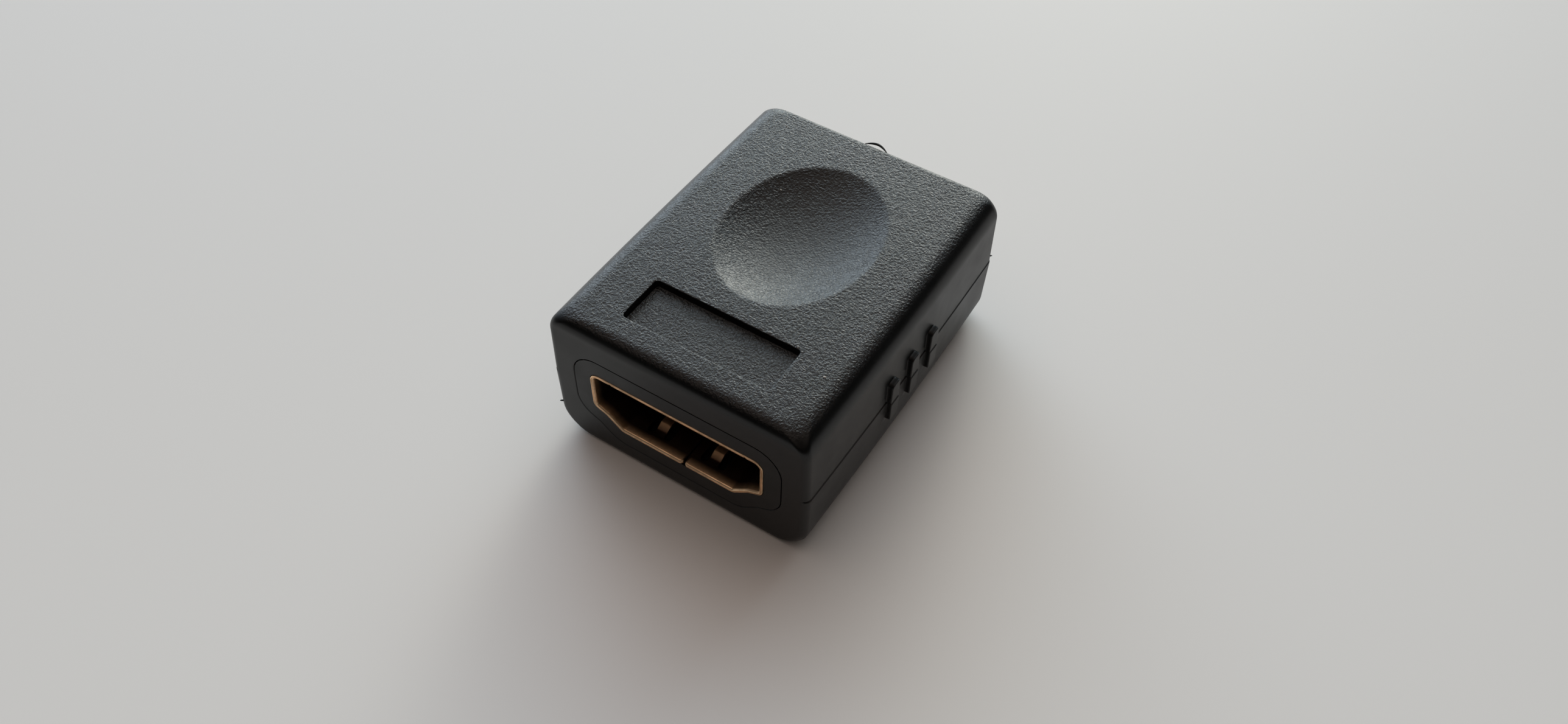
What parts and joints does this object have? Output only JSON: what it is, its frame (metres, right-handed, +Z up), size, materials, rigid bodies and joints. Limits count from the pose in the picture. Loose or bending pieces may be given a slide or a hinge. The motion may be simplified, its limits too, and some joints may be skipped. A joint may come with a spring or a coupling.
{
  "type": "female-to-female video connector coupler",
  "caption": "Black overmoulded inline coupler with a gold-plated D-profile video socket at each end, an oval finger dish, a bare label recess and side grip ribs.",
  "frame": {"origin": "on the surface that the body rests on, under the middle of its bounding box", "axes": "+Y runs along the plug axis from the front socket to the rear one, +X is the width to the right seen from the front, +Z is up, out of the face with the finger dish"},
  "size_m": [0.0228, 0.028, 0.0126],
  "materials": {
    "overmould": "black moulded plastic, fine eroded grain on top, satin sides",
    "inner_mould": "black moulded plastic, satin",
    "shell_plating": "thin gold plating over folded steel sheet, slightly dull",
    "insulator": "black moulded plastic",
    "circuit_board": "green solder mask",
    "contact_plating": "gold plated"
  },
  "bodies": {
    "root": {"overmould": "overmould", "inner_mould": "inner_mould", "front_shell": "shell_plating", "rear_shell": "shell_plating", "front_insulator": "insulator", "rear_insulator": "insulator", "circuit_board": "circuit_board", "front_contact_01": "contact_plating", "front_contact_02": "contact_plating", "front_contact_03": "contact_plating", "front_contact_04": "contact_plating", "front_contact_05": "contact_plating", "front_contact_06": "contact_plating", "front_contact_07": "contact_plating", "front_contact_08": "contact_plating", "front_contact_09": "contact_plating", "front_contact_10": "contact_plating", "front_contact_11": "contact_plating", "front_contact_12": "contact_plating", "front_contact_13": "contact_plating", "front_contact_14": "contact_plating", "front_contact_15": "contact_plating", "front_contact_16": "contact_plating", "front_contact_17": "contact_plating", "front_contact_18": "contact_plating", "front_contact_19": "contact_plating", "rear_contact_01": "contact_plating", "rear_contact_02": "contact_plating", "rear_contact_03": "contact_plating", "rear_contact_04": "contact_plating", "rear_contact_05": "contact_plating", "rear_contact_06": "contact_plating", "rear_contact_07": "contact_plating", "rear_contact_08": "contact_plating", "rear_contact_09": "contact_plating", "rear_contact_10": "contact_plating", "rear_contact_11": "contact_plating", "rear_contact_12": "contact_plating", "rear_contact_13": "contact_plating", "rear_contact_14": "contact_plating", "rear_contact_15": "contact_plating", "rear_contact_16": "contact_plating", "rear_contact_17": "contact_plating", "rear_contact_18": "contact_plating", "rear_contact_19": "contact_plating"}
  },
  "joints": []
}
